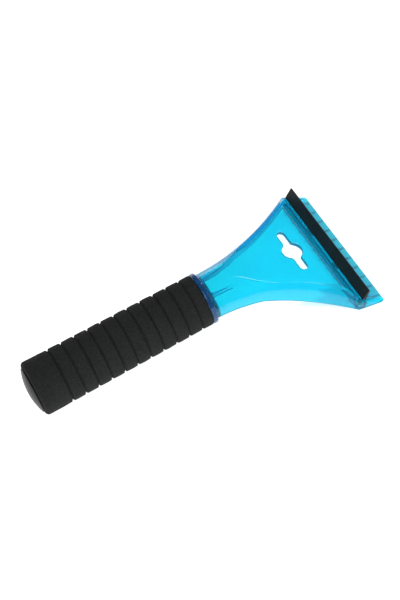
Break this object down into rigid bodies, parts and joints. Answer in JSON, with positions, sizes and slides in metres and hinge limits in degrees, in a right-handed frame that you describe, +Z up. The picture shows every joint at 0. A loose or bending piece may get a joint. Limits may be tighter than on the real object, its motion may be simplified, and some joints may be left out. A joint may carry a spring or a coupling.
{
  "type": "windshield ice scraper",
  "caption": "Hand-held ice scraper: clear fan-shaped blade head with a rubber squeegee lip and hang hole on a straight foam-covered grip.",
  "frame": {"origin": "middle of the bounding box's underside, where the scraper rests on its butt edge and blade", "axes": "+X along the tool from the end cap towards the ice blade, +Y across the blade, +Z up, towards the side with the squeegee lip"},
  "size_m": [0.2222, 0.1016, 0.0386],
  "materials": {
    "clear_blue": "clear tinted, glossy",
    "dark_blue": "glossy",
    "foam": "matte foam",
    "rubber": "satin",
    "gloss_black": "glossy"
  },
  "bodies": {
    "root": {"scraper_head": "clear_blue", "handle_core": "dark_blue", "foam_grip": "foam", "squeegee_strip": "rubber", "strip_pegs": "clear_blue", "end_cap": "gloss_black"}
  },
  "joints": []
}
